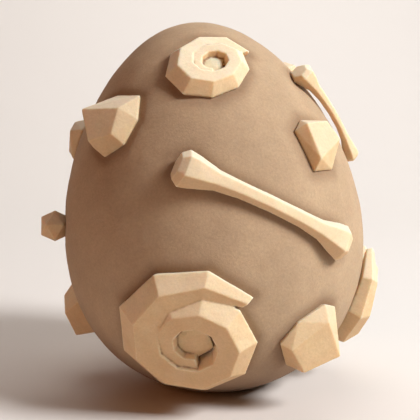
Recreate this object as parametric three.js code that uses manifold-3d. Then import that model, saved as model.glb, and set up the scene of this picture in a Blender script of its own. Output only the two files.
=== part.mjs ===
// A fossil egg: an egg-shaped stone that stands on a small worn spot, leaning a little, with
// ammonites, long bones, stone shards and pebbles bedded in shallow pockets all round it.
// Millimetres and degrees, +Z up, the origin at the middle of the worn spot.
// Bearings are measured round the egg's own axis, 0 at the front (-Y) and 90 at the right (+X).

import * as THREE from "three";
import { ConvexGeometry } from "three/addons/geometries/ConvexGeometry.js";
import { mergeVertices } from "three/addons/utils/BufferGeometryUtils.js";
import Module from "manifold-3d";

const wasm = await Module();
wasm.setup();

// The egg
const EGG_LENGTH = 183; // from end to end, before the worn spot is taken off
const EGG_RADIUS = 73;
const TAPER = 0.17; // how far the small end is narrower, and the big end wider, than an ellipse
const LEAN = 6.4; // the long axis leans this far towards -X
const WORN_DEPTH = 3; // how much of the big end is worn flat
const EGG_SIDES = 48;
const EGG_STEPS = 26;

// How the fossils are bedded
const CLEARANCE = 0.4; // between a fossil's corners and the wall of its pocket

const half = EGG_LENGTH / 2;
const baseRoundness = (EGG_RADIUS * (1 + TAPER)) ** 2 / half; // radius of the big end
const rad = THREE.MathUtils.degToRad;

// ---------------------------------------------------------------- solids

function solidFrom(geometry) {
  const bare = geometry.clone();
  bare.deleteAttribute("normal");
  bare.deleteAttribute("uv");
  const merged = mergeVertices(bare);
  return new wasm.Manifold(
    new wasm.Mesh({
      numProp: 3,
      vertProperties: merged.attributes.position.array,
      triVerts: new Uint32Array(merged.index.array),
    }),
  );
}

function geometryFrom(solid) {
  const mesh = solid.getMesh();
  const geometry = new THREE.BufferGeometry();
  geometry.setAttribute("position", new THREE.BufferAttribute(mesh.vertProperties, 3));
  geometry.setIndex(new THREE.BufferAttribute(mesh.triVerts, 1));
  const faceted = geometry.toNonIndexed();
  faceted.computeVertexNormals();
  return faceted;
}

const hull = (points) => solidFrom(new ConvexGeometry(points));

const union = (solids) => solids.reduce((joined, solid) => joined.add(solid));

function cornersOf(solid) {
  const { vertProperties } = solid.getMesh();
  const count = vertProperties.length / 3;
  return Array.from({ length: count }, (_, i) => new THREE.Vector3().fromArray(vertProperties, 3 * i));
}

// ---------------------------------------------------------------- the egg's outline

// The outline at a turn of 0 at the small end to PI at the big end, as (radius, height).
function outlineAt(turn) {
  return new THREE.Vector2(
    EGG_RADIUS * Math.sin(turn) * (1 - TAPER * Math.cos(turn)),
    half * (1 + Math.cos(turn)),
  );
}

// The outline at a height above the big end: its radius, its outward direction, and how
// strongly the surface curves, level and up the side.
function surfaceAt(height) {
  const turn = Math.acos(height / half - 1);
  const radius = outlineAt(turn).x;
  const radiusStep = EGG_RADIUS * (Math.cos(turn) - TAPER * Math.cos(2 * turn));
  const heightStep = -half * Math.sin(turn);
  const radiusBend = EGG_RADIUS * (2 * TAPER * Math.sin(2 * turn) - Math.sin(turn));
  const heightBend = -half * Math.cos(turn);
  const step = Math.hypot(radiusStep, heightStep);
  const outRadial = -heightStep / step;
  return {
    radius,
    outRadial,
    outAxial: radiusStep / step,
    curveLevel: outRadial / radius,
    curveUp: Math.abs(radiusStep * heightBend - heightStep * radiusBend) / step ** 3,
  };
}

// How strongly the surface curves along a direction, measured up from level.
function curveAlong(height, direction) {
  const { curveLevel, curveUp } = surfaceAt(height);
  return curveLevel * Math.cos(rad(direction)) ** 2 + curveUp * Math.sin(rad(direction)) ** 2;
}

function eggGeometry() {
  const turns = Array.from({ length: EGG_STEPS + 1 }, (_, i) => Math.PI * (1 - i / EGG_STEPS));
  const profile = turns.map(outlineAt);
  profile[0].x = 0;
  profile[EGG_STEPS].x = 0;
  const geometry = new THREE.LatheGeometry(profile, EGG_SIDES);
  geometry.rotateX(Math.PI / 2);
  return geometry.translate(0, 0, -baseRoundness);
}

// A group on the egg's surface: +Z out of the stone, +X level before it is spun.
function seat(height, bearing, spin, lift) {
  const { radius, outRadial, outAxial } = surfaceAt(height);
  const across = Math.sin(rad(bearing));
  const front = -Math.cos(rad(bearing));
  const out = new THREE.Vector3(outRadial * across, outRadial * front, outAxial);
  const level = new THREE.Vector3(-front, across, 0);
  const up = out.clone().cross(level);
  const group = new THREE.Group();
  group.quaternion.setFromRotationMatrix(new THREE.Matrix4().makeBasis(level, up, out));
  group.rotateZ(rad(spin));
  group.position.set(radius * across, radius * front, height - baseRoundness);
  group.position.addScaledVector(out, lift);
  return group;
}

// ---------------------------------------------------------------- the fossils

const WHORL_GROWTH = 1.7; // how much wider the coil is after each whole turn
const TUBE_SHARE = 0.5; // the tube's half width, as a share of its distance from the middle
const TUBE_HEIGHT_SHARE = 0.95; // its height against its width
const CREST_LEAN = 0.3; // how far its flat crest leans in, in half widths
const TUBE_SIDES = 6;
const RIBS = 9; // to a turn
const RIB_COUNT = 15;
const SPAN = 5; // ribs made as one bent tube, before it meets the next whorl
const MOUTH_TAPER = [0.22, 0.46, 0.68, 0.86, 0.96]; // the tube's share where it tapers away
const SHELL_WIDTH = 2.23; // across the whole shell, in reaches of its tube at the mouth
const HUB_SHARE = 0.32; // the worn hub's half width, as a share of the reach
const HUB_HEIGHT_SHARE = 0.2; // its height against its width

// A coiled shell, flat from rib to rib, that follows the egg's round. A hand of 1 winds inwards
// anticlockwise, seen from outside. A shell that was pressed in the ground is narrower along Y.
function ammonite({ across, hand, height, pressed }, margin = 0) {
  const reach = across / SHELL_WIDTH;
  const bend = (curveAlong(height, 0) + curveAlong(height, 90)) / 2;
  const lip = (margin / reach) * (RIBS / (2 * Math.PI)); // the mouth's own margin, in ribs
  const parts = [];
  for (let start = 0; start < RIB_COUNT; start += SPAN) {
    const end = Math.min(start + SPAN + 1, RIB_COUNT);
    const ribs = end - start;
    const open = Math.PI / TUBE_SIDES; // turns the tube so that its crest is a flat face
    const tube = new THREE.CylinderGeometry(1, 1, ribs, TUBE_SIDES, ribs, false, open);
    const corners = tube.attributes.position;
    for (let i = 0; i < corners.count; i += 1) {
      const rib = start + Math.round(ribs / 2 - corners.getY(i));
      const angle = ((rib || -lip) / RIBS) * 2 * Math.PI * hand;
      const middle = reach * WHORL_GROWTH ** (-rib / RIBS);
      const wide = middle * TUBE_SHARE * (MOUTH_TAPER[rib] ?? 1) + margin;
      const high = -corners.getZ(i) * hand;
      const out = middle + wide * (corners.getX(i) - CREST_LEAN * Math.max(high, 0));
      const up = wide * TUBE_HEIGHT_SHARE * high - (bend * middle ** 2) / 2;
      corners.setXYZ(i, out * Math.cos(angle), pressed * out * Math.sin(angle), up);
    }
    parts.push(solidFrom(tube));
  }
  const hub = new THREE.IcosahedronGeometry(reach * HUB_SHARE, 0);
  hub.scale(1, pressed, HUB_HEIGHT_SHARE);
  return union([...parts, solidFrom(hub)]);
}

const BONE_BEND_SHARE = 0.9; // a bone's bow, as a share of the egg's own curve
const BONE_HEIGHT_SHARE = 0.86; // its height against its width
const BONE_SIDES = 6;
// Half of a bone from its middle outwards: shares of its half length, and of its shaft's half
// width. It flares to a head, and the head's face is cut a little smaller.
const BONE_OUTLINE = [[0, 0.9], [0.34, 0.95], [0.6, 1.15], [0.82, 1.85], [0.93, 2.1], [1, 1.5]];

// A long bone along X: a slim shaft that flares to a head at each end, and bows to follow the
// egg. The far end, at +X, may be smaller.
function longBone({ length, shaft, farShare, height, spin }, margin = 0) {
  const bend = BONE_BEND_SHARE * curveAlong(height, spin);
  const shareAt = (x) => 1 + (farShare - 1) * (x / length + 0.5);
  const farSide = BONE_OUTLINE.map(([along, wide]) => [(along * length) / 2, wide * shaft]);
  const nearSide = farSide.slice(1).reverse().map(([x, wide]) => [-x, wide]);
  const profile = [...nearSide, ...farSide].map(([x, wide]) => {
    return new THREE.Vector2(wide * shareAt(x) + margin, x);
  });
  profile[0].y -= margin;
  profile.at(-1).y += margin;
  profile.unshift(new THREE.Vector2(0, profile[0].y));
  profile.push(new THREE.Vector2(0, profile.at(-1).y));
  const bone = new THREE.LatheGeometry(profile, BONE_SIDES, Math.PI / BONE_SIDES);
  bone.rotateZ(-Math.PI / 2);
  return solidFrom(bone).warp((p) => {
    p[2] = p[2] * BONE_HEIGHT_SHARE - (bend * p[0] ** 2) / 2;
  });
}

const SHARD_DEPTH = 5; // how far a shard reaches into the stone
const SHARD_FOOT_SHARE = 0.8; // its buried foot against its outline at the surface
const SHARD_RIM_DEPTH = 0.5; // its widest outline lies this far under the surface

// A broken piece of stone: its outline at the surface, and the corners of its crest, which is
// one flat face at a rise over the middle and a tilt, as slopes along X and Y.
function shard({ outline, crest, rise, tilt }, margin = 0) {
  const foot = outline.map(([x, y]) => {
    return new THREE.Vector3(x * SHARD_FOOT_SHARE, y * SHARD_FOOT_SHARE, -SHARD_DEPTH);
  });
  const rim = outline.map(([x, y]) => new THREE.Vector3(x, y, -SHARD_RIM_DEPTH));
  const top = crest.map(([x, y]) => new THREE.Vector3(x, y, rise + tilt[0] * x + tilt[1] * y));
  const corners = [...foot, ...rim, ...top];
  return hull(corners.map((p) => p.clone().setLength(p.length() + 2 * margin)));
}

// A rounded, many-sided pebble.
function pebble({ size }, margin = 0) {
  const [wide, deep, high] = size;
  const ball = new THREE.IcosahedronGeometry(1, 0);
  ball.scale(wide / 2 + margin, deep / 2 + margin, high / 2 + margin);
  return solidFrom(ball);
}

// ---------------------------------------------------------------- what is bedded where

const ammonites = {
  ammonite_crown: {
    height: 161, bearing: 12, spin: 22, lift: 0.5, across: 43, hand: 1, pressed: 0.85,
  },
  ammonite_front: {
    height: 43, bearing: -11, spin: 30, lift: 0.5, across: 67, hand: 1, pressed: 1,
  },
  ammonite_right: {
    height: 41, bearing: 100, spin: 120, lift: 5, across: 56, hand: 1, pressed: 1,
  },
  ammonite_back: {
    height: 112, bearing: 172, spin: 75, lift: 0.5, across: 54, hand: -1, pressed: 0.93,
  },
};

const bones = {
  bone_front: {
    height: 99, bearing: 22, spin: -33, lift: 2.4, length: 87, shaft: 4.3, farShare: 0.96,
  },
  bone_shoulder: {
    height: 131, bearing: 85, spin: -62, lift: 3.8, length: 58, shaft: 3.3, farShare: 0.72,
  },
  bone_back: {
    height: 62, bearing: 188, spin: 24, lift: 2.2, length: 76, shaft: 3.9, farShare: 0.9,
  },
};

const shards = {
  shard_brow: {
    height: 141, bearing: -43, spin: 4, rise: 8, tilt: [-0.22, 0.12],
    outline: [[-14, 10], [-3, 14], [12, 12], [14, 0], [9, -12], [-2, -17], [-12, -11]],
    crest: [[-12, 3], [8, 3], [6, -9], [-6, -12]],
  },
  shard_cheek: {
    height: 120, bearing: 53, spin: -6, rise: 6.5, tilt: [0.12, 0.05],
    outline: [[-13, 8], [-6, 13], [6, 10], [11, 0], [5, -12], [-9, -12]],
    crest: [[-11, 9], [3, 9], [8, 0], [-9, -8]],
  },
  shard_foot: {
    height: 35, bearing: 37, spin: 5, rise: 8, tilt: [0.25, -0.3],
    outline: [[-16, 1], [-8, 11], [7, 16], [14, 12], [14, -9], [-9, -15]],
    crest: [[-13, 0], [5, 11], [11, -7], [-7, -12]],
  },
  shard_temple: {
    height: 131, bearing: -97, spin: 20, rise: 6, tilt: [0, 0.1],
    outline: [[-13, 6], [2, 13], [14, 3], [8, -11], [-9, -10]],
    crest: [[-8, 4], [2, 8], [8, 2], [-4, -6]],
  },
  shard_hip: {
    height: 46, bearing: -100, spin: 0, rise: 11, tilt: [0.05, -0.12],
    outline: [[-15, 4], [-8, 14], [6, 16], [14, 6], [12, -12], [-4, -16], [-14, -9]],
    crest: [[-9, 3], [2, 11], [9, 3], [6, -10], [-6, -9]],
  },
  shard_nape: {
    height: 148, bearing: 118, spin: -30, rise: 8, tilt: [0.12, 0],
    outline: [[-14, 3], [-5, 12], [11, 10], [15, -5], [0, -13]],
    crest: [[-9, 2], [-3, 8], [8, 5], [6, -6]],
  },
  shard_back: {
    height: 92, bearing: 128, spin: 48, rise: 10, tilt: [0.05, 0.1],
    outline: [[-16, 5], [-4, 12], [13, 12], [14, -8], [-2, -15], [-15, -8]],
    crest: [[-11, 2], [-2, 8], [9, 7], [9, -6], [-6, -8]],
  },
  shard_heel: {
    height: 33, bearing: 150, spin: -12, rise: 8, tilt: [0.1, -0.05],
    outline: [[-13, 8], [3, 13], [14, 5], [10, -10], [-7, -12]],
    crest: [[-8, 4], [3, 9], [9, 2], [-2, -8]],
  },
  shard_flank: {
    height: 88, bearing: -128, spin: 66, rise: 10, tilt: [-0.08, 0.1],
    outline: [[-15, 2], [-7, 13], [9, 13], [16, 0], [7, -13], [-8, -13]],
    crest: [[-10, 1], [-3, 9], [7, 8], [10, -1], [-2, -9]],
  },
};

const pebbles = {
  pebble_left: { height: 92, bearing: -82, spin: 12, lift: 4.5, size: [17, 17, 16] },
  pebble_back: { height: 152, bearing: -142, spin: 40, lift: 2.6, size: [15, 13, 12] },
  pebble_heel: { height: 30, bearing: -146, spin: -25, lift: 2.8, size: [16, 14, 13] },
};

// ---------------------------------------------------------------- materials

const stoneBrown = new THREE.MeshStandardMaterial({ color: 0xa8845f, roughness: 0.9 });
const shellCream = new THREE.MeshStandardMaterial({ color: 0xe3c08f, roughness: 0.7 });
const boneCream = new THREE.MeshStandardMaterial({ color: 0xecd0a2, roughness: 0.65 });
const shardTan = new THREE.MeshStandardMaterial({ color: 0xdcb684, roughness: 0.8 });
for (const material of [stoneBrown, shellCream, boneCream, shardTan]) material.flatShading = true;

// ---------------------------------------------------------------- assembly

const fossilEgg = new THREE.Group();
fossilEgg.name = "fossil_egg";

// The leaning group turns about the middle of the big end's round, so the worn spot stays
// under the origin.
const leaning = new THREE.Group();
leaning.position.z = baseRoundness - WORN_DEPTH;
leaning.rotation.y = -rad(LEAN);
leaning.updateMatrixWorld(true);
fossilEgg.add(leaning);

const groundBlock = new THREE.BoxGeometry(EGG_LENGTH, EGG_LENGTH, EGG_LENGTH);
groundBlock.translate(0, 0, -EGG_LENGTH / 2);
groundBlock.applyMatrix4(leaning.matrixWorld.clone().invert());
let egg = solidFrom(eggGeometry()).subtract(solidFrom(groundBlock));

function bed(list, shape, material) {
  for (const [name, piece] of Object.entries(list)) {
    const place = seat(piece.height, piece.bearing, piece.spin, piece.lift ?? 0);
    const fossil = new THREE.Mesh(geometryFrom(shape(piece)), material);
    fossil.name = name;
    place.add(fossil);
    leaning.add(place);
    place.updateMatrix();
    const swollen = shape(piece, CLEARANCE);
    const room = shape === ammonite ? hull(cornersOf(swollen)) : swollen;
    egg = egg.subtract(solidFrom(geometryFrom(room).applyMatrix4(place.matrix)));
  }
}

bed(ammonites, ammonite, shellCream);
bed(bones, longBone, boneCream);
bed(shards, shard, shardTan);
bed(pebbles, pebble, shardTan);

const eggBody = new THREE.Mesh(geometryFrom(egg), stoneBrown);
eggBody.name = "egg_body";
leaning.add(eggBody);

export default fossilEgg;
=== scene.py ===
import math

import bpy
import numpy as np
from mathutils import Euler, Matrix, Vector
from mathutils.bvhtree import BVHTree


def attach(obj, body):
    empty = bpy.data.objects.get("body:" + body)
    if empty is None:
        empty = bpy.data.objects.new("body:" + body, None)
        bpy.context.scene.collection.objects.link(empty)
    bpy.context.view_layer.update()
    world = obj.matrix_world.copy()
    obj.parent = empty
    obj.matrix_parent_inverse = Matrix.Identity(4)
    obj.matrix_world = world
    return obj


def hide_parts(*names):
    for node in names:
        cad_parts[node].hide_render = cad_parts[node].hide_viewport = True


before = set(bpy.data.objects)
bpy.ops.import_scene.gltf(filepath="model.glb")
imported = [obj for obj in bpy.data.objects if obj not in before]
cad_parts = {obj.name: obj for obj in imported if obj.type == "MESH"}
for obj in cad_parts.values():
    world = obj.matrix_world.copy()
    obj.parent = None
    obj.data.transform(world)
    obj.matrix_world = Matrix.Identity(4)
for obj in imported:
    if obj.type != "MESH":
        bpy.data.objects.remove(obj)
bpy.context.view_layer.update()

# ------------------------------------------------------------------ the egg
# One egg-shaped nodule of hard, fine sandstone, as tall as a hand is long. It was cleaned with a
# scraper and a brush, so it is smooth and matte, with a shallow furrow and a band of painted shade
# round each fossil. Its lower part is painted darker, as painted shade. The big end is worn flat
# where it stands.

MM = 0.001
EGG_LENGTH = 183 * MM  # before the worn spot is taken off
EGG_RADIUS = 73 * MM
TAPER = 0.17  # how far the small end is narrower, and the big end wider, than an ellipse
LEAN = math.radians(6.4)
WORN_DEPTH = 3 * MM
BASE_ROUNDNESS = (EGG_RADIUS * (1 + TAPER)) ** 2 / (EGG_LENGTH / 2)  # radius of the big end

FURROW_WIDTH = 4 * MM
FURROW_DEPTH = 0.6 * MM
# How far the painted shade round each fossil reaches.
HALO_SHADE_WIDTH = 8 * MM
LUMP_WIDTH, LUMP_HEIGHT = 26 * MM, 0.7 * MM
SCRAPE_WIDTH, SCRAPE_HEIGHT = 5 * MM, 0.16 * MM


def work_on(piece):
    """Selects one piece alone and makes it active."""
    for other in bpy.context.selected_objects:
        other.select_set(False)
    piece.select_set(True)
    bpy.context.view_layer.objects.active = piece


def shape_with(piece, kind, **settings):
    """Adds a modifier to a piece and applies it."""
    work_on(piece)
    modifier = piece.modifiers.new(kind.title(), kind)
    for name, value in settings.items():
        setattr(modifier, name, value)
    bpy.ops.object.modifier_apply(modifier=modifier.name)


def places(piece):
    """The piece's points, as an array of x, y and z."""
    flat = np.empty(3 * len(piece.data.vertices))
    piece.data.vertices.foreach_get("co", flat)
    return flat.reshape(-1, 3)


def put_back(piece, points):
    """Moves the piece's points to these places."""
    piece.data.vertices.foreach_set("co", points.ravel())
    piece.data.update()


def paint(piece, name, values):
    """Stores one number for each point of a piece, which its material reads by name."""
    layer = piece.data.attributes.new(name, "FLOAT", "POINT")
    layer.data.foreach_set("value", values.astype(np.float32))


def closeness(points, surface, reach):
    """1 where a point touches the surface, falling smoothly to 0 at the reach."""
    found = [surface.find_nearest(point, reach)[3] for point in points]
    share = np.array([1 - distance / reach if distance is not None else 0 for distance in found])
    return share * share * (3 - 2 * share)


def rough_texture(name, size):
    """Soft lumps of about this size, for pushing a surface in and out."""
    texture = bpy.data.textures.new(name, "CLOUDS")
    texture.noise_scale = size
    texture.noise_depth = 2
    return texture


bpy.ops.mesh.primitive_cube_add(size=1)
egg = bpy.context.object
egg.name = "egg_stone"
shape_with(egg, "SUBSURF", levels=7, render_levels=7)

ball = places(egg)
ball /= np.linalg.norm(ball, axis=1)[:, None]
toward_tip = ball[:, 2]  # the cosine of the turn from the small end
ball[:, :2] *= EGG_RADIUS * (1 - TAPER * toward_tip)[:, None]
ball[:, 2] = EGG_LENGTH / 2 * (1 + toward_tip) - BASE_ROUNDNESS
lean = np.array(Euler((0, -LEAN, 0)).to_matrix())
put_back(egg, ball @ lean.T + [0, 0, BASE_ROUNDNESS - WORN_DEPTH])

fossil_nodes = [node for name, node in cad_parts.items() if name != "egg_body"]
corners, faces = [], []
for node in fossil_nodes:
    faces += [[len(corners) + i for i in face.vertices] for face in node.data.polygons]
    corners += [vertex.co.copy() for vertex in node.data.vertices]
fossils = BVHTree.FromPolygons(corners, faces)

points = places(egg)
normals = np.array([vertex.normal for vertex in egg.data.vertices])
furrow = closeness(points, fossils, FURROW_WIDTH)
put_back(egg, points - normals * furrow[:, None] * FURROW_DEPTH)
egg_lumps = rough_texture("egg_lumps", LUMP_WIDTH)
egg_scrapes = rough_texture("egg_scrapes", SCRAPE_WIDTH)
shape_with(egg, "DISPLACE", texture=egg_lumps, strength=LUMP_HEIGHT)
shape_with(egg, "DISPLACE", texture=egg_scrapes, strength=SCRAPE_HEIGHT)

work_on(egg)
bpy.ops.object.mode_set(mode="EDIT")
bpy.ops.mesh.select_all(action="SELECT")
bpy.ops.mesh.bisect(
    plane_co=(0, 0, 0),
    plane_no=(0, 0, 1),
    use_fill=True,
    clear_inner=True,
    threshold=0.001 * MM,
)
bpy.ops.object.mode_set(mode="OBJECT")
bpy.ops.object.shade_smooth_by_angle(angle=math.radians(50))
# Paints shade round the fossils: 1 where the stone touches a fossil, fading to 0 at 8 mm.
paint(egg, "halo_shade", closeness(places(egg), fossils, HALO_SHADE_WIDTH))


def linear(hex_colour):
    """A colour written as #RRGGBB, turned to linear light."""
    shares = [int(hex_colour[i : i + 2], 16) / 255 for i in (1, 3, 5)]
    return (*(s / 12.92 if s <= 0.04045 else ((s + 0.055) / 1.055) ** 2.4 for s in shares), 1)


def add_node(tree, kind, inputs=(), **settings):
    """Adds a node. Each input is a number or colour to set, or an output to link."""
    made = tree.nodes.new("ShaderNode" + kind)
    for name, value in settings.items():
        setattr(made, name, value)
    for name, value in dict(inputs).items():
        if isinstance(value, bpy.types.NodeSocket):
            tree.links.new(value, made.inputs[name])
        else:
            made.inputs[name].default_value = value
    return made


def per_metre(width):
    """A pattern's scale, from the real width of its patches."""
    return 1 / width


# Sandstone, scraped clean: a tan brown with warmer and greyer patches of 24 mm, speckled with
# grains of sand, with painted shade round the fossils and towards the bottom. Real grains are
# 0.2 mm wide, and these are drawn 1.1 mm wide, so that they show. Its open, gritty face scatters
# light evenly, for a soft, dry look with no highlight, and a little red light seeps on into the
# shade.
PATCH_WIDTH = 24 * MM
GRAIN_WIDTH = 1.1 * MM
GRAIN_HEIGHT = 0.35 * MM
HALO_SHADE_STRENGTH = 0.45
LOW_SHADE_STRENGTH = 0.62
LOW_SHADE_TOP, LOW_SHADE_FULL = 52 * MM, 2 * MM  # heights where the painted shade at the bottom starts and is strongest

sandstone = bpy.data.materials.new("scraped_sandstone")
sandstone.use_nodes = True
tree = sandstone.node_tree
finish = tree.nodes["Principled BSDF"]
here = add_node(tree, "TexCoord").outputs["Object"]

patches = add_node(
    tree,
    "TexNoise",
    {"Vector": here, "Scale": per_metre(PATCH_WIDTH), "Detail": 4, "Roughness": 0.6},
)
patch_share = add_node(
    tree, "MapRange", {"Value": patches.outputs[0], "From Min": 0.35, "From Max": 0.65}
)
body = add_node(
    tree,
    "Mix",
    {0: patch_share.outputs[0], 6: linear("#B3997C"), 7: linear("#BEA384")},
    data_type="RGBA",
)
grains = add_node(
    tree,
    "TexNoise",
    {"Vector": here, "Scale": per_metre(GRAIN_WIDTH), "Detail": 3, "Roughness": 0.7},
)
grain_share = add_node(
    tree,
    "MapRange",
    {"Value": grains.outputs[0], "From Min": 0.3, "From Max": 0.7, "To Min": 0.9, "To Max": 1.08},
)
grained = add_node(
    tree,
    "Mix",
    {0: 1.0, 6: body.outputs[2], 7: grain_share.outputs[0]},
    data_type="RGBA",
    blend_type="MULTIPLY",
)
# Painted shade: near each fossil the stone is mixed towards dark brown, as the shade there.
halo_shade = add_node(tree, "Attribute", attribute_name="halo_shade")
halo_shade_share = add_node(
    tree, "Math", {0: halo_shade.outputs["Fac"], 1: HALO_SHADE_STRENGTH}, operation="MULTIPLY"
)
halo_shaded = add_node(
    tree,
    "Mix",
    {0: halo_shade_share.outputs[0], 6: grained.outputs[2], 7: linear("#6E4E38")},
    data_type="RGBA",
)
# Painted shade: from 52 mm down to the foot the egg is mixed towards dark brown, as shade at the
# bottom.
height = add_node(tree, "SeparateXYZ", {0: here}).outputs["Z"]
painted_low_shade = add_node(
    tree,
    "MapRange",
    {"Value": height, "From Min": LOW_SHADE_TOP, "From Max": LOW_SHADE_FULL, "To Max": LOW_SHADE_STRENGTH},
    interpolation_type="SMOOTHSTEP",
)
low_shaded = add_node(
    tree,
    "Mix",
    {0: painted_low_shade.outputs[0], 6: halo_shaded.outputs[2], 7: linear("#69483A")},
    data_type="RGBA",
)
tree.links.new(low_shaded.outputs[2], finish.inputs["Base Color"])
roughness = add_node(
    tree, "MapRange", {"Value": grains.outputs[0], "To Min": 0.8, "To Max": 0.98}
)
tree.links.new(roughness.outputs[0], finish.inputs["Roughness"])
relief = add_node(
    tree, "Bump", {"Height": grains.outputs[0], "Strength": 0.35, "Distance": GRAIN_HEIGHT}
)
tree.links.new(relief.outputs[0], finish.inputs["Normal"])
finish.inputs["IOR"].default_value = 1.5
finish.inputs["Specular IOR Level"].default_value = 0.25
finish.inputs["Subsurface Weight"].default_value = 0.2
finish.inputs["Subsurface Radius"].default_value = (1.0, 0.4, 0.2)
finish.inputs["Subsurface Scale"].default_value = 5 * MM

egg.data.materials.append(sandstone)
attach(egg, "root")
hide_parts("egg_body")

egg_surface = BVHTree.FromPolygons(
    [vertex.co.copy() for vertex in egg.data.vertices],
    [list(face.vertices) for face in egg.data.polygons],
)

# ------------------------------------------------------------------ the ammonites
# Coiled sea shells turned to calcite stone, bedded on their sides. Only their main ribs are
# left, worn to broad flat faces from rib to rib, and the whorls meet in deep seams.

SHELL_GRID = 0.45 * MM  # the width of the fine mesh's faces
WORN_STEPS = 2  # smoothing passes that round an edge
UNEVEN = 0.25 * MM
CHIPPED = 0.1 * MM
EDGE_STEPS = 14  # smoothing passes that flatten the edges and fill the seams, to find them
EDGE_REACH = 0.5 * MM  # a point that stands this far proud is all edge
FOOT_SHADE_HEIGHT = 2.2 * MM
CLOUD_WIDTH = 9 * MM
SEAM_SHADE = "#8F6544"  # brown painted into the seams as their shade


def weathered_copy(node_name, piece_name, grid, lumps, chips):
    """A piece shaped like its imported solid, with rounded edges and slightly uneven faces."""
    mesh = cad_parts[node_name].data.copy()
    mesh.materials.clear()
    piece = bpy.data.objects.new(piece_name, mesh)
    bpy.context.collection.objects.link(piece)
    work_on(piece)
    bpy.ops.object.mode_set(mode="EDIT")
    bpy.ops.mesh.select_all(action="SELECT")
    bpy.ops.mesh.remove_doubles(threshold=0.01 * MM)
    bpy.ops.object.mode_set(mode="OBJECT")
    shape_with(piece, "REMESH", mode="VOXEL", voxel_size=grid, use_smooth_shade=True)
    shape_with(piece, "SMOOTH", factor=0.5, iterations=WORN_STEPS)
    shape_with(piece, "DISPLACE", texture=lumps, strength=UNEVEN)
    shape_with(piece, "DISPLACE", texture=chips, strength=CHIPPED)
    return piece


def mark_edges(piece):
    """Paints 1 where a point stands proud of its surroundings, 0 in a hollow, 0.5 between."""
    points = places(piece)
    normals = np.array([vertex.normal for vertex in piece.data.vertices])
    copy = piece.copy()
    copy.data = piece.data.copy()
    bpy.context.collection.objects.link(copy)
    shape_with(copy, "SMOOTH", factor=0.8, iterations=EDGE_STEPS)
    proud = ((points - places(copy)) * normals).sum(axis=1)
    bpy.data.objects.remove(copy)
    paint(piece, "proud", np.clip(proud / EDGE_REACH, -1, 1) * 0.5 + 0.5)


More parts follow.
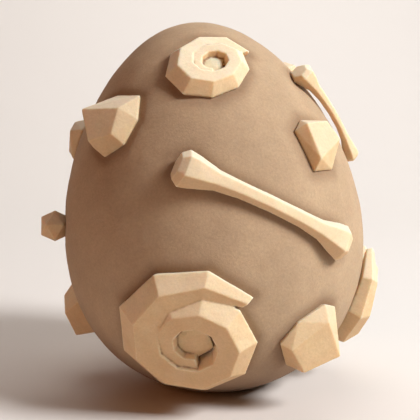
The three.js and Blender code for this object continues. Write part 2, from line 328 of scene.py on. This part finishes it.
def fossil_stone(name, light, body, deep, grain_width, grain_height):
    """A worn fossil's stone, cloudy with its two body colours.

    Its upper faces are painted paler, as painted light from above, and its undersides are mixed
    towards the deep colour, as painted shade. Its edges are rubbed pale, its seams are painted
    brown as their shade, and its foot next to the egg is painted a little darker, as painted shade.
    """
    stone = bpy.data.materials.new(name)
    stone.use_nodes = True
    tree = stone.node_tree
    finish = tree.nodes["Principled BSDF"]
    here = add_node(tree, "TexCoord").outputs["Object"]
    clouds = add_node(
        tree,
        "TexNoise",
        {"Vector": here, "Scale": per_metre(CLOUD_WIDTH), "Detail": 4, "Roughness": 0.6},
    )
    cloud_share = add_node(
        tree, "MapRange", {"Value": clouds.outputs[0], "From Min": 0.35, "From Max": 0.65}
    )
    warm = add_node(
        tree,
        "Mix",
        {0: cloud_share.outputs[0], 6: linear(body[0]), 7: linear(body[1])},
        data_type="RGBA",
    )
    # Painted light and shade: faces that look up are painted paler, faces that look down darker.
    up_share = add_node(tree, "Attribute", attribute_name="facing_up").outputs["Fac"]
    painted_top_light = add_node(
        tree, "MapRange", {"Value": up_share, "From Min": 0.45, "From Max": 0.9, "To Max": 0.8}
    )
    top_lit = add_node(
        tree, "Mix", {0: painted_top_light.outputs[0], 6: warm.outputs[2], 7: linear(light)}, data_type="RGBA"
    )
    painted_underside_shade = add_node(
        tree, "MapRange", {"Value": up_share, "From Min": 0.5, "From Max": 0.1, "To Max": 0.6}
    )
    underside_shaded = add_node(
        tree, "Mix", {0: painted_underside_shade.outputs[0], 6: top_lit.outputs[2], 7: linear(deep)}, data_type="RGBA"
    )
    proud = add_node(tree, "Attribute", attribute_name="proud").outputs["Fac"]
    worn = add_node(
        tree,
        "MapRange",
        {"Value": proud, "From Min": 0.56, "From Max": 0.85, "To Max": 0.75},
        interpolation_type="SMOOTHSTEP",
    )
    pale = add_node(
        tree, "Mix", {0: worn.outputs[0], 6: underside_shaded.outputs[2], 7: linear(light)}, data_type="RGBA"
    )
    # Painted shade: hollows and seams are mixed towards brown, as their shade.
    seam_shade = add_node(
        tree,
        "MapRange",
        {"Value": proud, "From Min": 0.47, "From Max": 0.25, "To Max": 0.85},
        interpolation_type="SMOOTHSTEP",
    )
    shaded = add_node(
        tree,
        "Mix",
        {0: seam_shade.outputs[0], 6: pale.outputs[2], 7: linear(SEAM_SHADE)},
        data_type="RGBA",
    )
    # Painted shade: each fossil's foot, next to the egg, is mixed a little towards the deep colour.
    foot = add_node(tree, "Attribute", attribute_name="foot").outputs["Fac"]
    foot_shade_share = add_node(tree, "Math", {0: foot, 1: 0.25}, operation="MULTIPLY")
    foot_shaded = add_node(
        tree,
        "Mix",
        {0: foot_shade_share.outputs[0], 6: shaded.outputs[2], 7: linear(deep)},
        data_type="RGBA",
    )
    grains = add_node(
        tree,
        "TexNoise",
        {"Vector": here, "Scale": per_metre(grain_width), "Detail": 3, "Roughness": 0.7},
    )
    grain_share = add_node(
        tree,
        "MapRange",
        {
            "Value": grains.outputs[0],
            "From Min": 0.3,
            "From Max": 0.7,
            "To Min": 0.93,
            "To Max": 1.05,
        },
    )
    grained = add_node(
        tree,
        "Mix",
        {0: 1.0, 6: foot_shaded.outputs[2], 7: grain_share.outputs[0]},
        data_type="RGBA",
        blend_type="MULTIPLY",
    )
    tree.links.new(grained.outputs[2], finish.inputs["Base Color"])
    roughness = add_node(
        tree, "MapRange", {"Value": grains.outputs[0], "To Min": 0.62, "To Max": 0.85}
    )
    tree.links.new(roughness.outputs[0], finish.inputs["Roughness"])
    relief = add_node(
        tree, "Bump", {"Height": grains.outputs[0], "Strength": 0.4, "Distance": grain_height}
    )
    tree.links.new(relief.outputs[0], finish.inputs["Normal"])
    finish.inputs["IOR"].default_value = 1.5
    finish.inputs["Specular IOR Level"].default_value = 0.3
    finish.inputs["Subsurface Weight"].default_value = 0.6
    finish.inputs["Subsurface Radius"].default_value = (1.0, 0.6, 0.4)
    finish.inputs["Subsurface Scale"].default_value = 5 * MM
    return stone


def set_in_stone(piece, node_name, stone):
    """Paints a fossil's edges, its foot and how far each point faces up, and gives it its stone."""
    mark_edges(piece)
    # Paints the fossil's foot, for the painted shade where it meets the egg.
    paint(piece, "foot", closeness(places(piece), egg_surface, FOOT_SHADE_HEIGHT))
    # How far each point faces up, for the painted light on top and the painted shade below.
    upward = np.array([vertex.normal.z for vertex in piece.data.vertices])
    paint(piece, "facing_up", upward * 0.5 + 0.5)
    piece.data.materials.append(stone)
    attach(piece, "root")
    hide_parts(node_name)


shell_lumps = rough_texture("shell_lumps", 7 * MM)
shell_chips = rough_texture("shell_chips", 1.6 * MM)
# Fossil shell, worn: calcite tinted by the sandstone, cream where it is rubbed, with brown painted
# shade in its seams and a faint waxy depth. Its crystals, under 0.3 mm wide, are drawn 0.9 mm wide.
shell_stone = fossil_stone(
    "worn_fossil_shell",
    light="#F2E6CB",
    body=("#EAD0A6", "#E5C79B"),
    deep="#BC8A5D",
    grain_width=0.9 * MM,
    grain_height=0.2 * MM,
)
for place in ("crown", "front", "right", "back"):
    shell = weathered_copy(
        f"ammonite_{place}", f"shell_{place}", SHELL_GRID, shell_lumps, shell_chips
    )
    set_in_stone(shell, f"ammonite_{place}", shell_stone)

# ------------------------------------------------------------------ the long bones
# Limb bones turned to stone: a slim shaft that flares to a head at each end. Each lies bedded
# along its length, so only its upper half is free, and its faces are worn flat.

BONE_GRID = 0.4 * MM

bone_lumps = rough_texture("bone_lumps", 9 * MM)
bone_chips = rough_texture("bone_chips", 1.8 * MM)
# Fossil bone, worn: less yellow than the shell, ivory on its ridges, with a dry, even face. Its
# pores, 0.2 mm wide, are drawn as grains 0.8 mm wide.
bone_stone = fossil_stone(
    "worn_fossil_bone",
    light="#EAE0C8",
    body=("#EAD4AD", "#E5CCA4"),
    deep="#C09265",
    grain_width=0.8 * MM,
    grain_height=0.18 * MM,
)
for place in ("front", "shoulder", "back"):
    bone = weathered_copy(
        f"bone_{place}", f"long_bone_{place}", BONE_GRID, bone_lumps, bone_chips
    )
    set_in_stone(bone, f"bone_{place}", bone_stone)

# ------------------------------------------------------------------ the shards and pebbles
# Broken pieces and worn pebbles of a pale, hard limestone that were caught in the nodule as it
# grew, and that stand out now that the softer sandstone round them is scraped away.

SHARD_GRID = 0.4 * MM
PEBBLE_GRID = 0.35 * MM

shard_lumps = rough_texture("shard_lumps", 8 * MM)
shard_chips = rough_texture("shard_chips", 1.7 * MM)
# Limestone, broken and weathered: sandy cream faces with a coarser grain than the fossils have.
# Its grains, 0.3 mm wide, are drawn 1 mm wide.
chipped_stone = fossil_stone(
    "chipped_pale_stone",
    light="#E4D6BC",
    body=("#E6CCA2", "#E0C296"),
    deep="#B9875B",
    grain_width=1.0 * MM,
    grain_height=0.22 * MM,
)
for place in ("brow", "cheek", "foot", "temple", "hip", "nape", "back", "heel", "flank"):
    shard = weathered_copy(
        f"shard_{place}", f"stone_shard_{place}", SHARD_GRID, shard_lumps, shard_chips
    )
    set_in_stone(shard, f"shard_{place}", chipped_stone)
for place in ("left", "back", "heel"):
    round_stone = weathered_copy(
        f"pebble_{place}", f"stone_pebble_{place}", PEBBLE_GRID, shard_lumps, shard_chips
    )
    set_in_stone(round_stone, f"pebble_{place}", chipped_stone)

# ------------------------------------------------------------------ the studio
# A sweep of pale paper, a soft lamp to the right, a weak warm one to the left, and one high up
# that lights the paper's far end.

SWEEP_WIDTH = 1.9  # these are in metres
SWEEP_FRONT = -1.1
SWEEP_BACK = 1.4
SWEEP_HEIGHT = 1.6
SWEEP_BEND = 0.9

bpy.ops.mesh.primitive_plane_add(size=1)
sweep = bpy.context.object
sweep.name = "paper_sweep"
middle = (SWEEP_BACK + SWEEP_FRONT) / 2
put_back(sweep, places(sweep) * [SWEEP_WIDTH, SWEEP_BACK - SWEEP_FRONT, 1] + [0, middle, 0])
work_on(sweep)
bpy.ops.object.mode_set(mode="EDIT")
bpy.ops.mesh.select_mode(type="EDGE")
bpy.ops.mesh.select_all(action="DESELECT")
bpy.ops.object.mode_set(mode="OBJECT")
sheet_corners = sweep.data.vertices
for edge in sweep.data.edges:
    edge.select = all(sheet_corners[index].co.y > middle for index in edge.vertices)
bpy.ops.object.mode_set(mode="EDIT")
bpy.ops.mesh.extrude_region_move(TRANSFORM_OT_translate={"value": (0, 0, SWEEP_HEIGHT)})
bpy.ops.object.mode_set(mode="OBJECT")
shape_with(sweep, "BEVEL", width=SWEEP_BEND, segments=24, limit_method="ANGLE")
bpy.ops.object.shade_smooth()

# Background paper: off-white and quite matt, so that it shows soft shadows and no highlight.
paper = bpy.data.materials.new("pale_paper")
paper.use_nodes = True
paper.node_tree.nodes["Principled BSDF"].inputs["Base Color"].default_value = linear("#E8E5E1")
paper.node_tree.nodes["Principled BSDF"].inputs["Roughness"].default_value = 0.9
sweep.data.materials.append(paper)


def lamp(name, place, aim, size, watts, colour):
    """A square soft lamp on a stand, turned to its aim."""
    light = bpy.data.lights.new(name, "AREA")
    light.size = size
    light.energy = watts
    light.color = linear(colour)[:3]
    stand = bpy.data.objects.new(name, light)
    stand.location = place
    stand.rotation_euler = (Vector(aim) - Vector(place)).to_track_quat("-Z", "Y").to_euler()
    bpy.context.collection.objects.link(stand)


CENTRE = (0, 0, 0.09)
lamp("soft_key", (1.0, -0.48, 0.9), CENTRE, 0.4, 22.5, "#FFFDFD")
lamp("warm_fill", (-1.08, -0.91, 0.6), CENTRE, 0.9, 3.2, "#FF9850")
lamp("backdrop_lamp", (0, 0.6, 1.3), (0, 1.3, 0.35), 1.2, 11, "#FFFBF7")

# The room is dark, so that the lamps alone light the egg, but what shows past the paper is pale.
room = bpy.data.worlds.new("dark_room")
room.use_nodes = True
tree = room.node_tree
dim_air = tree.nodes["Background"]
dim_air.inputs["Color"].default_value = linear("#FFDCC0")
dim_air.inputs["Strength"].default_value = 0.02
pale_card = add_node(tree, "Background", {"Color": linear("#F1EDE8"), "Strength": 0.9})
seen = add_node(tree, "LightPath").outputs["Is Camera Ray"]
both = add_node(
    tree, "MixShader", {0: seen, 1: dim_air.outputs[0], 2: pale_card.outputs[0]}
)
tree.links.new(both.outputs[0], tree.nodes["World Output"].inputs["Surface"])
bpy.context.scene.world = room
bpy.context.scene.view_settings.view_transform = "Standard"

# The camera stands in front, a little above the middle, and looks slightly down.
LOOK_DOWN = math.radians(8)
LOOK_AT = Vector((-1.63, -0.36, 87.43)) * MM
FROM = 495.6 * MM
camera = bpy.data.objects.new("camera", bpy.data.cameras.new("camera"))
camera.data.lens = 85
camera.data.sensor_width = 36
camera.data.clip_start = 0.01
bpy.context.collection.objects.link(camera)
camera.location = LOOK_AT + FROM * Vector((0, -math.cos(LOOK_DOWN), math.sin(LOOK_DOWN)))
camera.rotation_euler = (math.pi / 2 - LOOK_DOWN, 0, 0)
bpy.context.scene.camera = camera
